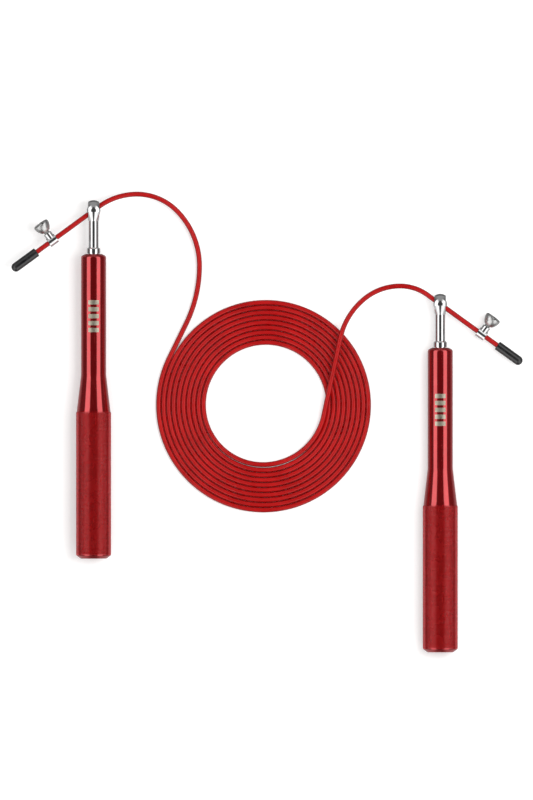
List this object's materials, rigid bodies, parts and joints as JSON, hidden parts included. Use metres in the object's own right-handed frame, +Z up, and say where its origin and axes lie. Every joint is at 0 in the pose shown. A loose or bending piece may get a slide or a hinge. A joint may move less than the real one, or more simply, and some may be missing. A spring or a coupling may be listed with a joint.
{
  "type": "jump rope",
  "caption": "Speed jump rope: slim bearing handles with knurled grips, a swivel eye and ball at each mouth, and a coated steel cable coiled flat with screw clamps and end caps on its tails.",
  "frame": {"origin": "on the resting surface under the middle of the coil", "axes": "+Z up from the surface; +Y from the handles' closed ends towards their mouths; +X from the left handle to the right handle"},
  "size_m": [0.2587, 0.2331, 0.0177],
  "materials": {
    "red_jacket": "smooth extruded PVC, slightly translucent over the strand",
    "steel_strand": "drawn wire strand",
    "red_anodised": "bright red anodising, turned, with a diamond-knurled grip",
    "black_plastic": "moulded",
    "bearing_steel": "ground",
    "bearing_balls": "polished",
    "cage_steel": "pressed",
    "steel": "zinc plated",
    "chrome": "polished",
    "chrome_ball": "polished",
    "chrome_clamp": "polished",
    "chrome_screw": "polished, slotted",
    "black_cap": "moulded soft vinyl"
  },
  "bodies": {
    "rope": {"cable_jacket": "red_jacket", "cable_core": "steel_strand", "left_end_cap": "black_cap", "right_end_cap": "black_cap"},
    "left_clamp": {"left_clamp_collar": "chrome_clamp"},
    "left_clamp_turn": {"left_clamp_screw": "chrome_screw"},
    "left_swivel": {"left_swivel_ball": "chrome_ball"},
    "left_spindle_body": {"left_spindle": "chrome", "left_spindle_washer": "steel", "left_spindle_nut": "steel", "left_bearing_inner_races": "bearing_steel", "left_bearing_spacer": "steel"},
    "left_bearing_train": {"left_bearing_balls": "bearing_balls", "left_bearing_cages": "cage_steel"},
    "left_grip_body": {"left_handle": "red_anodised", "left_end_plug": "black_plastic", "left_bearing_outer_races": "bearing_steel", "left_bearing_shields": "bearing_steel"},
    "right_clamp": {"right_clamp_collar": "chrome_clamp"},
    "right_clamp_turn": {"right_clamp_screw": "chrome_screw"},
    "right_swivel": {"right_swivel_ball": "chrome_ball"},
    "right_spindle_body": {"right_spindle": "chrome", "right_spindle_washer": "steel", "right_spindle_nut": "steel", "right_bearing_inner_races": "bearing_steel", "right_bearing_spacer": "steel"},
    "right_bearing_train": {"right_bearing_balls": "bearing_balls", "right_bearing_cages": "cage_steel"},
    "right_grip_body": {"right_handle": "red_anodised", "right_end_plug": "black_plastic", "right_bearing_outer_races": "bearing_steel", "right_bearing_shields": "bearing_steel"}
  },
  "joints": [
    {"name": "left_clamp_slide", "type": "slide", "parent": "rope", "child": "left_clamp", "axis": [-0.8063, -0.5891, 0.0528], "range_m": [-0.014, 0.007]},
    {"name": "left_screw_turn", "type": "hinge", "parent": "left_clamp", "child": "left_clamp_turn", "pos_m": [-0.10681, 0.08322, 0.01022], "axis": [-0.5827, 0.8066, 0.0993], "range_deg": [0, 360]},
    {"name": "left_ball_turn", "type": "hinge", "parent": "rope", "child": "left_swivel", "pos_m": [-0.086, 0.09842, 0.00886], "axis": [-0.8063, -0.5891, 0.0528], "range_deg": [0, 150]},
    {"name": "left_eye_swing", "type": "hinge", "parent": "left_swivel", "child": "left_spindle_body", "pos_m": [-0.086, 0.09842, 0.00886], "axis": [-0.9986, 0, 0.0523], "continuous": true},
    {"name": "left_handle_spin", "type": "hinge", "parent": "left_spindle_body", "child": "left_grip_body", "pos_m": [-0.086, 0.09842, 0.00886], "axis": [0, 1, 0], "continuous": true},
    {"name": "left_train_spin", "type": "hinge", "parent": "left_spindle_body", "child": "left_bearing_train", "pos_m": [-0.086, 0.09842, 0.00886], "axis": [0, 1, 0], "continuous": true},
    {"name": "right_clamp_slide", "type": "slide", "parent": "rope", "child": "right_clamp", "axis": [0.809, -0.5852, -0.0549], "range_m": [-0.014, 0.007]},
    {"name": "right_screw_turn", "type": "hinge", "parent": "right_clamp", "child": "right_clamp_turn", "pos_m": [0.11029, 0.03591, 0.00745], "axis": [0.5878, 0.8055, 0.0756], "range_deg": [0, 360]},
    {"name": "right_ball_turn", "type": "hinge", "parent": "rope", "child": "right_swivel", "pos_m": [0.08942, 0.05101, 0.00887], "axis": [-0.809, 0.5852, 0.0549], "range_deg": [0, 150]},
    {"name": "right_eye_swing", "type": "hinge", "parent": "right_swivel", "child": "right_spindle_body", "pos_m": [0.08942, 0.05101, 0.00887], "axis": [-0.9986, 0, -0.0523], "continuous": true},
    {"name": "right_handle_spin", "type": "hinge", "parent": "right_spindle_body", "child": "right_grip_body", "pos_m": [0.08942, 0.05101, 0.00887], "axis": [0, 1, 0], "continuous": true},
    {"name": "right_train_spin", "type": "hinge", "parent": "right_spindle_body", "child": "right_bearing_train", "pos_m": [0.08942, 0.05101, 0.00887], "axis": [0, 1, 0], "continuous": true}
  ],
  "couplings": [
    {"joint": "left_train_spin", "follows": "left_handle_spin", "ratio": 0.6},
    {"joint": "right_train_spin", "follows": "right_handle_spin", "ratio": 0.6}
  ]
}
